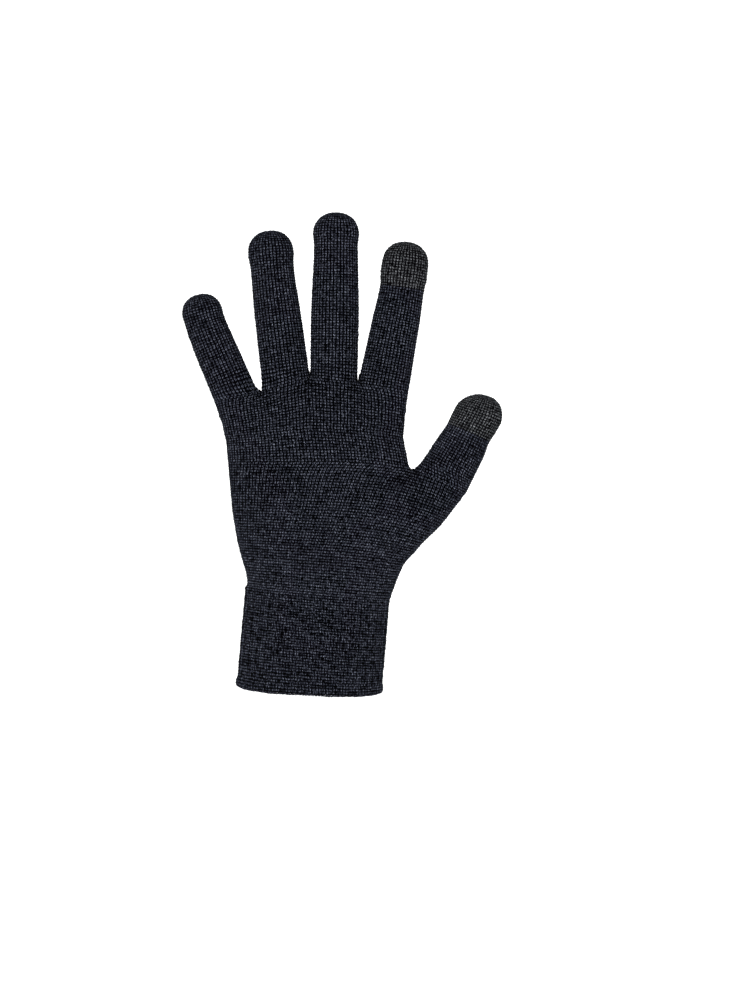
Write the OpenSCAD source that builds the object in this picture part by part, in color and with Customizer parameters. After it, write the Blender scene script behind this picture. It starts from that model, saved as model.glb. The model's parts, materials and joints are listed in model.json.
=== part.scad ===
// Seamless knitted glove for a right hand, standing in its worn shape.
// Fingers point up (+Z), the palm faces -Y, the thumb is on the +X side.
// The origin is the centre of the cuff's mouth. All sizes in millimetres.

/* [Cuff] */
// half width of the cuff tube across the wrist
cuff_hw = 34.6; // [30:0.5:40]
// half depth of the cuff tube at its mouth
cuff_hd = 23; // [18:0.5:28]
// length of the cuff along its own axis, without the linking course
cuff_len = 49; // [40:1:90]
// lean of the cuff away from the palm's long axis, degrees
cuff_lean = 5.3; // [0:0.1:10]
// height of the rolled welt at the mouth
welt_h = 4.4; // [3:0.2:8]

/* [Knit] */
// thickness of the knitted wall
wall = 1.6; // [1.2:0.1:2.4]
// radius of the sewing and closing threads
thread_r = 0.7; // [0.4:0.1:1]
// radius of the elastic yarn laid in the cuff
elastic_r = 0.4; // [0.3:0.05:0.6]

/* [Palm] */
// half depth of the palm at the wrist
wrist_hd = 21; // [17:0.5:25]
// half depth of the palm across the knuckles
palm_hd = 14; // [11:0.5:18]
// height of the crotch between ring and middle finger
knuckle_z = 148.8; // [140:0.2:160]

/* [Fingers] */
// depth of a finger as a share of its width
finger_depth = 0.86; // [0.75:0.01:1]
// bend of a finger's root joint, degrees
root_bend = 75; // [45:5:80]
// bend of a finger's middle joint, degrees
middle_bend = 85; // [45:5:90]
// bend of a finger's end joint, degrees
end_bend = 34; // [20:1:60]

/* [Thumb] */
// bend of the thumb's root joint, degrees
thumb_root_bend = 40; // [20:5:50]
// bend of the thumb's end joint, degrees
thumb_end_bend = 60; // [30:5:70]
// turn of the thumb's bending plane towards the palm, degrees
thumb_turn = 25; // [0:5:40]

/* [Hidden] */
digit_sides = 24;
palm_sides = 40;
gap = 0.15;
black = [0.03, 0.033, 0.05];
grey = [0.16, 0.16, 0.165];
thread_black = [0.02, 0.02, 0.03];

// Each finger: root x, root z, lean of the lower part, lean of the end part,
// widths at root, middle joint, neck and tip, then the distances from the
// root of the root joint, middle joint, end joint, tip line and tip.
little = [-37.1, 144.8, -23, -10, 20.6, 19.6, 18.8, 19.4, 5, 19, 32.5, 35, 47.4];
ring = [-11.1, 146.8, -7.3, -4, 22.4, 21.8, 20.0, 21.4, 8, 27, 49, 57, 73.5];
middle = [11.4, 146.8, 1, 0.5, 21.8, 22.4, 20.4, 21.7, 8, 30, 54, 67, 81.8];
index = [35.6, 146.8, 11, 4.5, 23.8, 22.2, 20.6, 22.2, 8, 27, 44, 47, 69.3];
// share of a finger's lean that its joint axes take
axis_share = 0.6;
// joint axes lie this share of the half depth towards the palm
axis_in = 0.5;

function spow(x, p) = x < 0 ? -pow(-x, p) : pow(x, p);
function mix(a, b, t) = a + (b - a) * t;
function clamp(x) = min(1, max(0, x));
function soft(x) = let (t = clamp(x)) t * t * (3 - 2 * t);

// One cross-section. U runs across, V towards the back of the hand, T along.
// Where v is more than e towards the palm, the points step by k along T.
function ring_at(c, U, V, T, a, b, n, sides, e = 0, k = 0, g = 0) =
 [for (i = [0:sides - 1])
  let (t = 360 * i / sides, u = a * spow(cos(t), 2 / n), v = b * spow(sin(t), 2 / n))
  c + u * U + v * V + (g + k * max(0, -e - v)) * T];

function lean_u(a) = [cos(a), 0, -sin(a)];
function lean_t(a) = [sin(a), 0, cos(a)];

// ---- closed surfaces built from rings, listed from the wrist outwards ----
function side_faces(k, n, o, flip) = [for (r = [0:k - 2], i = [0:n - 1])
 let (a = o + r * n + i, b = o + r * n + (i + 1) % n, c = b + n, d = a + n)
 each (flip ? [[a, c, d], [a, b, c]] : [[a, d, c], [a, c, b]])];
function end_faces(n, p, q, top) = [for (i = [0:n - 1])
 let (a = p + i, b = p + (i + 1) % n, c = q + (i + 1) % n, d = q + i)
 each (top ? [[a, c, b], [a, d, c]] : [[a, b, c], [a, c, d]])];

module tube(outer, inner) {
  k = len(outer);
  n = len(outer[0]);
  pts = concat([for (r = outer) each r], [for (r = inner) each r]);
  polyhedron(points = pts, convexity = 4, faces = concat(
    side_faces(k, n, 0, false), side_faces(k, n, k * n, true),
    end_faces(n, 0, k * n, false), end_faces(n, (k - 1) * n, (2 * k - 1) * n, true)));
}

module pocket(outer, outer_end, inner, inner_end) {
  k = len(outer);
  n = len(outer[0]);
  m = 2 * k * n;
  pts = concat([for (r = outer) each r], [for (r = inner) each r], [outer_end, inner_end]);
  fan_out = [for (i = [0:n - 1]) [(k - 1) * n + i, m, (k - 1) * n + (i + 1) % n]];
  fan_in = [for (i = [0:n - 1]) [(2 * k - 1) * n + (i + 1) % n, m + 1, (2 * k - 1) * n + i]];
  polyhedron(points = pts, convexity = 4, faces = concat(
    side_faces(k, n, 0, false), side_faces(k, n, k * n, true),
    end_faces(n, 0, k * n, false), fan_out, fan_in));
}

function middle_of(r) = [for (j = [0:2]) [for (p = r) p[j]] * [for (p = r) 1] / len(r)];

module plug(rings) {
  k = len(rings);
  n = len(rings[0]);
  pts = concat([for (r = rings) each r], [middle_of(rings[0]), middle_of(rings[k - 1])]);
  low = [for (i = [0:n - 1]) [i, (i + 1) % n, k * n]];
  high = [for (i = [0:n - 1]) [(k - 1) * n + (i + 1) % n, (k - 1) * n + i, k * n + 1]];
  polyhedron(points = pts, convexity = 4,
    faces = concat(side_faces(k, n, 0, false), low, high));
}

// closed loop of cross-sections, for the rolled welt
module hoop(rings) {
  k = len(rings);
  n = len(rings[0]);
  pts = [for (r = rings) each r];
  polyhedron(points = pts, convexity = 6, faces = [for (r = [0:k - 1], i = [0:n - 1])
    let (a = r * n + i, b = r * n + (i + 1) % n, c = ((r + 1) % k) * n + (i + 1) % n,
      d = ((r + 1) % k) * n + i)
    each [[a, c, b], [a, d, c]]]);
}

// ---- fingers ----
function f_at(f, s) = let (h = f[10], p = [f[0], 0, f[1]] + min(s, h) * lean_t(f[2]))
 p + max(0, s - h) * lean_t(f[3]);
function f_cut(f, s) = s <= f[10] ? axis_share * f[2]
 : mix(axis_share * f[2], f[3], soft((s - f[10]) / (f[12] - f[10]) * 1.6));
function f_lean(f, s) = s <= f[10] ? f[2] : f[3];
function f_width(f, s) = s < f[9] ? mix(f[4], f[5], s / f[9])
 : s < f[11] ? mix(f[5], f[6], soft((s - f[9]) / (f[11] - f[9])))
 : mix(f[6], f[7], soft((s - f[11]) / 5));
function f_round(f, s) = let (r = f[7] * 0.5, q = (s - (f[12] - r)) / r)
 q <= 0 ? 1 : pow(max(0, 1 - pow(q, 2.25)), 1 / 2.25);
function f_ring(f, s, inset = 0, k = 0, g = 0) =
 let (w = f_width(f, s) / 2, cut = f_cut(f, s), wide = 1 / cos(f_lean(f, s) - cut),
  rr = inset > 0 ? f_round(f, s + inset) : f_round(f, s))
 ring_at(f_at(f, s), lean_u(cut), [0, 1, 0], lean_t(cut),
  (w * rr - inset) * wide, (w * finger_depth) * rr - inset, 2.2, digit_sides,
  w * finger_depth * axis_in, k, g);

// sleeve between two joints, both ends cut to clear its neighbours
module sleeve(f, s0, s1, bend0, bend1, steps) {
  k0 = tan(bend0 / 2);
  k1 = -tan(bend1 / 2);
  g0 = bend0 > 0 ? gap : 0;
  g1 = bend1 > 0 ? -gap : 0;
  st = [for (i = [0:steps]) mix(s0, s1, i / steps)];
  tube([for (i = [0:steps]) f_ring(f, st[i], 0, i == 0 ? k0 : (i == steps ? k1 : 0),
        i == 0 ? g0 : (i == steps ? g1 : 0))],
    [for (i = [0:steps]) f_ring(f, st[i], wall, i == 0 ? k0 : (i == steps ? k1 : 0),
        i == 0 ? g0 : (i == steps ? g1 : 0))]);
}

// closed fingertip from the tip line outwards
module fingertip(f, s0) {
  r = f[7] / 2;
  top = f[12];
  low = top - r;
  so = concat([s0, mix(s0, low, 0.5), low], [for (q = [20, 38, 54, 68, 80]) low + r * sin(q)]);
  si = concat([s0, mix(s0, low, 0.5), low],
    [for (q = [20, 38, 54, 68, 80]) low + (r - wall) * sin(q)]);
  inner = [for (i = [0:len(si) - 1])
    let (s = si[i], w = f_width(f, s) / 2 - wall, d = f_width(f, s) / 2 * finger_depth - wall,
      cut = f_cut(f, s), q = max(0, (s - low) / (r - wall)),
      rr = pow(max(0, 1 - pow(q, 2.25)), 1 / 2.25), wide = 1 / cos(f_lean(f, s) - cut))
    ring_at(f_at(f, s), lean_u(cut), [0, 1, 0], lean_t(cut), w * rr * wide, d * rr, 2.2,
      digit_sides)];
  pocket([for (s = so) f_ring(f, s)], f_at(f, top), inner, f_at(f, top - wall));
}

// thread drawn through the last loops and pulled tight
module closing(f) {
  p = f_at(f, f[12] - 0.1);
  translate(p) rotate([0, f[3], 0]) rotate_extrude($fn = 24)
    translate([1.5, 0]) circle(r = 0.55, $fn = 12);
}

// ---- thumb: x, y, z, half width, half depth, lean of the section ----
thumb_sections = [
 [23.0, -1.5, 66.6, 22.0, 17.5, 30], [32.1, -2.5, 77.5, 21.0, 17.5, 40],
 [41.8, -3.5, 85.8, 20.0, 17.0, 45], [50.6, -4.2, 90.3, 17.0, 15.6, 41],
 [57.1, -4.8, 94.6, 14.2, 13.8, 36], [63.6, -5.4, 101.2, 12.7, 12.3, 30.5],
 [66.9, -5.7, 107.2, 12.2, 11.7, 29], [71.9, -6.1, 116.9, 11.7, 10.85, 27],
 [74.8, -6.3, 122.3, 11.4, 10.5, 24], [79.3, -6.6, 131.1, 11.5, 10.4, 20]];
thumb_tip = [82.9, -6.8, 143.2];
// sections that hold the root joint, the end joint, the colour change and the widest part
thumb_root = 6;
thumb_joint = 7;
thumb_line = 8;
thumb_wide = 9;

function t_t(s) = lean_t(s[5]);
function t_v(s) = cos(thumb_turn) * [0, 1, 0] + sin(thumb_turn) * lean_u(s[5]);
function t_u(s) = cos(thumb_turn) * lean_u(s[5]) - sin(thumb_turn) * [0, 1, 0];
function t_mid(i) = thumb_sections[i];
function t_ring(s, inset = 0, k = 0, g = 0) =
 ring_at([s[0], s[1], s[2]], t_u(s), t_v(s), t_t(s), s[3] - inset, s[4] - inset, 2.1,
  digit_sides, s[4] * axis_in, k, g);
function between(a, b, t) = [for (j = [0:5]) mix(a[j], b[j], t)];

module thumb_sleeve(a, b, bend0, bend1) {
  k0 = tan(bend0 / 2);
  k1 = -tan(bend1 / 2);
  g0 = bend0 > 0 ? gap : 0;
  g1 = bend1 > 0 ? -gap : 0;
  m = between(a, b, 0.5);
  tube([t_ring(a, 0, k0, g0), t_ring(m), t_ring(b, 0, k1, g1)],
    [t_ring(a, wall, k0, g0), t_ring(m, wall), t_ring(b, wall, k1, g1)]);
}

link_h = 1.3;
t_line = t_mid(thumb_line);
t_line_top = between(t_mid(thumb_line), t_mid(thumb_line + 1), 0.13);

module thumb_cap() {
  a = t_line_top;
  b = t_mid(thumb_wide);
  tip = thumb_tip;
  arc = [18, 36, 52, 66, 79];
  outer = concat([t_ring(a), t_ring(between(a, b, 0.5)), t_ring(b)],
    [for (q = arc) let (s = [mix(b[0], tip[0], sin(q)), mix(b[1], tip[1], sin(q)),
        mix(b[2], tip[2], sin(q)), b[3] * pow(cos(q), 0.9), b[4] * pow(cos(q), 0.9), b[5] - 4])
      t_ring(s)]);
  inner_tip = tip - wall * lean_t(16);
  inner = concat([t_ring(a, wall), t_ring(between(a, b, 0.5), wall), t_ring(b, wall)],
    [for (q = arc) let (s = [mix(b[0], inner_tip[0], sin(q)), mix(b[1], inner_tip[1], sin(q)),
        mix(b[2], inner_tip[2], sin(q)), (b[3] - wall) * pow(cos(q), 0.9),
        (b[4] - wall) * pow(cos(q), 0.9), b[5] - 4])
      t_ring(s)]);
  pocket(outer, tip, inner, inner_tip);
}

// ---- palm ----
// z, left edge, right edge, half depth, share of the knuckle slope
palm_sections = [
 [48.2, -30.0, 39.0, 21.0, 0], [53.0, -30.2, 40.2, 20.6, 0], [60.0, -31.8, 42.0, 19.6, 0],
 [71.5, -34.3, 44.0, 17.6, 0], [86.0, -36.6, 46.0, 15.8, 0], [101.0, -38.0, 47.6, 14.6, 0],
 [114.0, -38.9, 46.0, 14.1, 0.1], [126.0, -40.0, 44.4, 13.6, 0.4],
 [135.0, -40.2, 44.0, 12.6, 0.75], [141.5, -39.6, 43.2, 11.0, 0.95],
 [146.0, -38.4, 42.0, 8.2, 1], [148.6, -36.5, 40.5, 4.0, 1]];
function p_lean(z) = cuff_lean * (1 - soft((z - 48) / 30));
function p_ring(s, inset) =
 let (c = (s[1] + s[2]) / 2, a = (s[2] - s[1]) / 2 - inset, b = s[3] * (s[0] < 90 ?
   mix(wrist_hd / 21, palm_hd / 14, soft((s[0] - 48) / 42)) : palm_hd / 14) - inset,
  lean = p_lean(s[0]), drop = s[0] > 140 ? inset : 0)
 [for (i = [0:palm_sides - 1])
  let (t = 360 * i / palm_sides, u = a * spow(cos(t), 2 / 2.5), v = b * spow(sin(t), 2 / 2.5),
   p = [c + 0.2, 0, s[0]] + u * lean_u(lean) + [0, v, 0])
  [p[0], p[1], p[2] - drop + (knuckle_z - 148.8) * s[4]
    - s[4] * 6 * pow((p[0] - 3) / 26, 2)]];

module palm_body(inset) {
  s = palm_sections;
  last = len(s) - 1;
  // the lower ring of the hollow reaches past the wall so that the wrist is open
  first = inset > 0 ? [s[0][0] - 2, s[0][1], s[0][2], s[0][3], 0] : s[0];
  plug(concat([p_ring(first, inset)], [for (i = [1:last]) p_ring(s[i], inset)]));
}

// the sleeve of one finger below its root joint
module stub(f, inset) {
  k = -tan(root_bend / 2);
  h = f[8];
  over = inset > 0 ? 3 : 0;
  plug([f_ring(f, -27, inset + 1), f_ring(f, -20, inset - 1), f_ring(f, -13, inset - 0.2),
    f_ring(f, -6, inset), f_ring(f, 0, inset),
    f_ring(f, h * 0.45, inset), f_ring(f, h, inset, k, over - gap)]);
}

module thumb_root_part(inset) {
  k = -tan(thumb_root_bend / 2);
  over = inset > 0 ? 3 : 0;
  plug(concat([for (i = [0:thumb_root - 1]) t_ring(t_mid(i), inset)],
    [t_ring(t_mid(thumb_root), inset, k, over - gap)]));
}

module hand_solid() difference() {
  union() {
    palm_body(0);
    stub(little, 0);
    stub(ring, 0);
    stub(middle, 0);
    stub(index, 0);
    thumb_root_part(0);
  }
  union() {
    palm_body(wall);
    stub(little, wall);
    stub(ring, wall);
    stub(middle, wall);
    stub(index, wall);
    thumb_root_part(wall);
  }
}

// regions that divide the hand where the knitting changes direction
heel_top = 66;
root_line = 131;
module slab(z0, z1) translate([-150, -100, z0]) cube([300, 200, z1 - z0]);
module right_of(x, z, lean) translate([x, 0, z]) rotate([0, lean, 0])
  translate([0, -100, -150]) cube([200, 200, 400]);
module left_of(x, z, lean) translate([x, 0, z]) rotate([0, lean, 0])
  translate([-200, -100, -150]) cube([200, 200, 400]);
gusset_x = 47.5;
gusset_z = 104.3;
gusset_lean = 18;
// crotches between neighbouring fingers: x, z, lean of the dividing plane
web_little = [-22.8, 142.9, -14];
web_ring = [0.75, 148.7, -3.4];
web_middle = [23.2, 146.8, 6];

module palm_heel() color(black) resize([0, 0, 0]) intersection() {
  hand_solid();
  slab(0, heel_top);
}
module palm_knit() color(black) resize([0, 0, 0]) intersection() {
  hand_solid();
  slab(heel_top, root_line);
  left_of(gusset_x, gusset_z, gusset_lean);
}
module thumb_gusset() color(black) resize([0, 0, 0]) intersection() {
  hand_solid();
  slab(heel_top, root_line);
  right_of(gusset_x, gusset_z, gusset_lean);
}
module little_root() color(black) resize([0, 0, 0]) intersection() {
  hand_solid();
  slab(root_line, 300);
  left_of(web_little[0], web_little[1], web_little[2]);
}
module ring_root() color(black) resize([0, 0, 0]) intersection() {
  hand_solid();
  slab(root_line, 300);
  right_of(web_little[0], web_little[1], web_little[2]);
  left_of(web_ring[0], web_ring[1], web_ring[2]);
}
module middle_root() color(black) resize([0, 0, 0]) intersection() {
  hand_solid();
  slab(root_line, 300);
  right_of(web_ring[0], web_ring[1], web_ring[2]);
  left_of(web_middle[0], web_middle[1], web_middle[2]);
}
module index_root() color(black) resize([0, 0, 0]) intersection() {
  hand_solid();
  slab(root_line, 300);
  right_of(web_middle[0], web_middle[1], web_middle[2]);
}

// ---- cuff ----
function c_at(s) = s * lean_t(cuff_lean);
function c_half(s) = [mix(cuff_hw, cuff_hw - 0.2, s / 50), mix(cuff_hd, wrist_hd + 0.3, s / 50)];
function c_ring(s, out) = let (h = c_half(s))
 ring_at(c_at(s), lean_u(cuff_lean), [0, 1, 0], lean_t(cuff_lean), h[0] + out, h[1] + out, 2.3,
  palm_sides);

module cuff_rib() color(black) {
  st = [welt_h, 12, 20, 28, 36, 43, cuff_len - 0.8];
  tube([for (s = st) c_ring(s, s > 47 ? -0.3 : 0)], [for (s = st) c_ring(s, -wall)]);
}

module cuff_welt() color(black) {
  // section of the rolled edge: distance out from the wall's middle, height
  sec = [[-0.8, 1], [-1.5, 0.78], [-1.7, 0.45], [-1.2, 0.15], [-0.4, 0], [0.4, 0],
   [1.2, 0.15], [1.7, 0.45], [1.5, 0.78], [0.8, 1]];
  all = [for (q = sec) c_ring(q[1] * welt_h, q[0] - wall / 2)];
  hoop([for (i = [0:palm_sides - 1]) [for (r = all) r[i]]]);
}

// the elastic yarn spirals round the inside of the cuff
elastic_turns = 5;
function spine(j) = let (s = 7.5 + 7.2 * j / palm_sides, h = c_half(s), t = 360 * j / palm_sides,
  a = h[0] - wall - elastic_r - 0.12, b = h[1] - wall - elastic_r - 0.12)
 c_at(s) + a * spow(cos(t), 2 / 2.3) * lean_u(cuff_lean) + [0, b * spow(sin(t), 2 / 2.3), 0];
function yarn_ring(j, m) = let (p = spine(j), w = spine(j + 1) - spine(j - 1), d = w / norm(w),
  x0 = cross(d, lean_t(cuff_lean)), x = x0 / norm(x0), y = cross(d, x))
 [for (i = [0:m - 1]) p + elastic_r * (cos(360 * i / m) * x + sin(360 * i / m) * y)];
module cuff_elastic() color(thread_black)
  plug([for (j = [0:elastic_turns * palm_sides]) yarn_ring(j, 6)]);

// linking course between the rib and the palm, slightly drawn in
module wrist_link() color(black) {
  low = cuff_len - 0.8;
  s0 = palm_sections[0];
  tube([c_ring(low, -0.3), p_ring(s0, 0)], [c_ring(low, -wall), p_ring(s0, wall)]);
}

// gathered stitches that close the gusset between two fingers
module crotch(x, z, r, lean, y = 0) {
  translate([x, y, z - r + 0.5]) rotate([0, lean, 0]) rotate([90, 0, 90])
    rotate_extrude(angle = 180, $fn = 40) translate([r, 0]) circle(r = thread_r, $fn = 12);
}
module crotch_stitch_little() color(thread_black) crotch(-22.8, 142.9, 7.5, -12);
module crotch_stitch_ring() color(thread_black) crotch(0.4, 148.7, 7.5, -2);
module crotch_stitch_middle() color(thread_black) crotch(23.2, 146.8, 7.5, 5);
module crotch_stitch_thumb() color(thread_black) crotch(50.4, 104.6, 9, 6, -4.5);

module little_base() color(black) sleeve(little, little[8], little[9], root_bend, middle_bend, 3);
module little_middle() color(black) sleeve(little, little[9], little[10], middle_bend, end_bend, 3);
module little_end() color(black) sleeve(little, little[10], little[11], end_bend, 0, 1);
module little_tip() color(black) fingertip(little, little[11]);
module little_closing() color(thread_black) closing(little);

module ring_base() color(black) sleeve(ring, ring[8], ring[9], root_bend, middle_bend, 3);
module ring_middle() color(black) sleeve(ring, ring[9], ring[10], middle_bend, end_bend, 3);
module ring_end() color(black) sleeve(ring, ring[10], ring[11], end_bend, 0, 2);
module ring_tip() color(black) fingertip(ring, ring[11]);
module ring_closing() color(thread_black) closing(ring);

module middle_base() color(black) sleeve(middle, middle[8], middle[9], root_bend, middle_bend, 3);
module middle_middle() color(black) sleeve(middle, middle[9], middle[10], middle_bend, end_bend, 3);
module middle_end() color(black) sleeve(middle, middle[10], middle[11], end_bend, 0, 2);
module middle_tip() color(black) fingertip(middle, middle[11]);
module middle_closing() color(thread_black) closing(middle);

module index_base() color(black) sleeve(index, index[8], index[9], root_bend, middle_bend, 3);
module index_middle() color(black) sleeve(index, index[9], index[10], middle_bend, end_bend, 3);
module index_end() color(black) sleeve(index, index[10], index[11], end_bend, 0, 1);
module index_touch_link() color(grey) sleeve(index, index[11], index[11] + link_h, 0, 0, 1);
module index_touch_cap() color(grey) fingertip(index, index[11] + link_h);
module index_closing() color(thread_black) closing(index);

module thumb_base() color(black)
  thumb_sleeve(t_mid(thumb_root), t_mid(thumb_joint), thumb_root_bend, thumb_end_bend);
module thumb_end() color(black) thumb_sleeve(t_mid(thumb_joint), t_line, thumb_end_bend, 0);
module thumb_touch_link() color(grey) tube([t_ring(t_line), t_ring(t_line_top)],
  [t_ring(t_line, wall), t_ring(t_line_top, wall)]);
module thumb_touch_cap() color(grey) thumb_cap();
module thumb_closing() color(thread_black) translate(thumb_tip - 0.1 * lean_t(16))
  rotate([0, 16, 0]) rotate_extrude($fn = 24) translate([1.5, 0]) circle(r = 0.55, $fn = 12);

palm_heel();
palm_knit();
thumb_gusset();
little_root();
ring_root();
middle_root();
index_root();
wrist_link();
cuff_rib();
cuff_welt();
cuff_elastic();
crotch_stitch_little();
crotch_stitch_ring();
crotch_stitch_middle();
crotch_stitch_thumb();
little_base();
little_middle();
little_end();
little_tip();
little_closing();
ring_base();
ring_middle();
ring_end();
ring_tip();
ring_closing();
middle_base();
middle_middle();
middle_end();
middle_tip();
middle_closing();
index_base();
index_middle();
index_end();
index_touch_link();
index_touch_cap();
index_closing();
thumb_base();
thumb_end();
thumb_touch_link();
thumb_touch_cap();
thumb_closing();
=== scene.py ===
"""Looks of the knitted touchscreen glove: every sleeve is rebuilt loop by loop in yarn.

Lengths are in millimetres until a mesh is made; the CAD part's frame is kept throughout.
"""
import json
import math

import bpy
import numpy as np
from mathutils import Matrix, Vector


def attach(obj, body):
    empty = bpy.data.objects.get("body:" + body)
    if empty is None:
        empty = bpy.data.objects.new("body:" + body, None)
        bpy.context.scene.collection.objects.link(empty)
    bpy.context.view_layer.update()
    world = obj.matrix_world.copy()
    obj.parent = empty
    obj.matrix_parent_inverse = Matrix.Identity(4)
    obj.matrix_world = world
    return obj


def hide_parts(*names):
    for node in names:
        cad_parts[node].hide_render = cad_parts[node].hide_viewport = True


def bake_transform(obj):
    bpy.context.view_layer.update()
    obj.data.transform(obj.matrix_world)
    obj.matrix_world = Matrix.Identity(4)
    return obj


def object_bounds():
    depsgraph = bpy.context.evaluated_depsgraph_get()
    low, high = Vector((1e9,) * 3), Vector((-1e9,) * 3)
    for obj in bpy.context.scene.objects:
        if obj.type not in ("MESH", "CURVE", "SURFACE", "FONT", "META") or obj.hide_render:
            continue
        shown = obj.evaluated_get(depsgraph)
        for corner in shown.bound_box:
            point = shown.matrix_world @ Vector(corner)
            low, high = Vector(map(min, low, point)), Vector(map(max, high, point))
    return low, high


MM = 0.001
# width and height of one stitch
WALE = 1.6
COURSE = 1.3
YARN_RADIUS = 0.27
# points along one loop, and corners of the yarn's cross-section
SAMPLES = 8
SIDES = 4
# share of painted light at each corner of the yarn's cross-section: the two inner corners, which
# face into the fabric, get painted shade
CORNER_LIGHT = np.array((1.0, 0.1, 0.1, 1.0))
rng = np.random.default_rng(11)

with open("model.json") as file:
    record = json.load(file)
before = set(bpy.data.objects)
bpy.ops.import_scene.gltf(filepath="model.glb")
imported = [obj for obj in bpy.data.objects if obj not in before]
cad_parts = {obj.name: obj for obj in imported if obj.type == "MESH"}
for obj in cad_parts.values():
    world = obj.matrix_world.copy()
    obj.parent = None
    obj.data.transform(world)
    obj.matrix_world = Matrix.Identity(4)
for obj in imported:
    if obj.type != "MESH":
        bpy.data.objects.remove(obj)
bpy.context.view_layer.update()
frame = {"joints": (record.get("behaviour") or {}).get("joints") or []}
joints = {j["name"]: j for j in frame["joints"]}

# ---------------------------------------------------------------- shape of the hand
# x, z of the root, lean, lean of the end, widths at root, middle joint, neck and tip,
# then distances to the three joints, the tip line and the tip
FINGERS = {
    "little": (-37.2, 144.8, -23, -14.5, 20.2, 19.6, 18.6, 19.0, 5, 19, 32.5, 35, 47.4),
    "ring": (-11.1, 146.8, -7.3, -5, 22.4, 21.8, 20.0, 21.4, 8, 27, 49, 57, 73.5),
    "middle": (11.6, 146.8, 1, 0.5, 21.8, 22.4, 20.4, 21.7, 8, 30, 54, 67, 81.8),
    "index": (35.7, 146.8, 11, 7.2, 23.8, 22.2, 20.6, 21.8, 8, 27, 44, 47, 68.6),
}
DEPTH = 0.86
# x, y, z, half width, half depth, lean
THUMB = np.array([
    (23.0, -1.0, 66.6, 22.0, 16.6, 30), (32.1, -2.0, 77.5, 21.0, 16.0, 40),
    (41.8, -3.2, 85.8, 20.0, 15.2, 45), (50.6, -4.2, 90.3, 16.8, 14.4, 41),
    (57.1, -4.8, 94.6, 13.9, 13.4, 36), (63.8, -5.4, 101.1, 12.6, 12.3, 30.5),
    (67.3, -5.7, 107.0, 12.1, 11.7, 29), (72.7, -6.1, 116.6, 11.6, 10.85, 27),
    (75.5, -6.3, 122.0, 10.5, 10.5, 24), (80.2, -6.6, 130.5, 11.3, 10.4, 20),
])
THUMB_TIP = np.array((84.6, -6.8, 140.5))
THUMB_TURN = math.radians(25)
# z, left edge, right edge, half depth, share of the knuckle slope
PALM = np.array([
    (44.0, -29.2, 37.9, 21.2, 0), (48.2, -29.2, 38.4, 21.0, 0), (53.0, -29.9, 40.2, 20.6, 0),
    (60.0, -31.8, 42.8, 19.6, 0), (71.5, -34.3, 44.0, 17.6, 0), (86.0, -36.6, 46.0, 15.8, 0),
    (101.0, -38.0, 47.6, 14.6, 0), (114.0, -38.9, 46.0, 14.1, 0.1),
    (126.0, -39.6, 44.4, 13.6, 0.4), (135.0, -39.7, 44.0, 12.6, 0.75),
    (141.5, -39.6, 43.2, 11.0, 0.95), (146.0, -38.4, 42.0, 8.2, 1),
    (148.6, -36.5, 40.5, 4.0, 1), (149.8, -36.0, 40.0, 0.3, 1),
])
FINGER_OVAL = 2.2
THUMB_OVAL = 2.1
CUFF_OVAL = 2.3
CUFF_LEAN = math.radians(5.3)
CUFF_HALF_WIDTH = (34.35, 34.3)
CUFF_HALF_DEPTH = (23.0, 21.3)
CUFF_LEN = 46.2
# the elastic yarn's turns, and its place along and inside the cuff
ELASTIC_TURNS = 5
ELASTIC_START = 7.5
ELASTIC_PITCH = 7.2
ELASTIC_DEPTH = 1.9
# x and z of the crotch line at each side of each finger
CROTCHES = ((-45.0, 138.5), (-22.8, 142.9), (0.4, 149.4), (23.2, 146.8), (46.8, 143.0))
# degrees by which the web between two fingers leans
WEB_LEAN = (-14, -3, 6)
# x and z where the thumb leaves the hand, on its inner and outer side
THUMB_CROTCH = (51.1, 104.3)
THUMB_OUTER = (73.8, 95.0)


def mix(a, b, t):
    return a + (b - a) * t


def soft(x):
    x = np.clip(x, 0, 1)
    return x * x * (3 - 2 * x)


def power(x, p):
    return np.sign(x) * np.abs(x) ** p


def smooth_min(a, b, k):
    h = np.clip(0.5 + 0.5 * (b - a) / k, 0, 1)
    return mix(b, a, h) - k * h * (1 - h)


def oval(u, v, a, b, n):
    """About how far (u, v) is outside a rounded oval with half sizes a and b."""
    a, b = np.maximum(a, 0.05), np.maximum(b, 0.05)
    p, q = np.abs(u) / a + 1e-6, np.abs(v) / b + 1e-6
    r = (p ** n + q ** n) ** (1 / n)
    slope = r ** (1 - n) * np.hypot(p ** (n - 1) / a, q ** (n - 1) / b)
    return np.clip((r - 1) / slope, -25, 25)


def oval_radius(theta, a, b, n):
    """Distance from the centre of a rounded oval to its edge in each direction."""
    p, q = np.abs(np.cos(theta) / a), np.abs(np.sin(theta) / b)
    return (p ** n + q ** n) ** (-1 / n)


def finger_width(f, s):
    """Width of a finger at a distance s from its root."""
    w = np.where(s < f[9], mix(f[4], f[5], s / f[9]),
                 np.where(s < f[11], mix(f[5], f[6], soft((s - f[9]) / (f[11] - f[9]))),
                          mix(f[6], f[7], soft((s - f[11]) / 5))))
    return np.where(s < 0, f[4] + 2 * soft(-s / 20), w)


def finger_round(f, s):
    """Share of the width that is left where the tip rounds off."""
    r = f[7] * 0.5
    q = np.clip((s - (f[12] - r)) / r, 0, 1)
    return (1 - q ** 2.25) ** (1 / 2.25)


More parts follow.
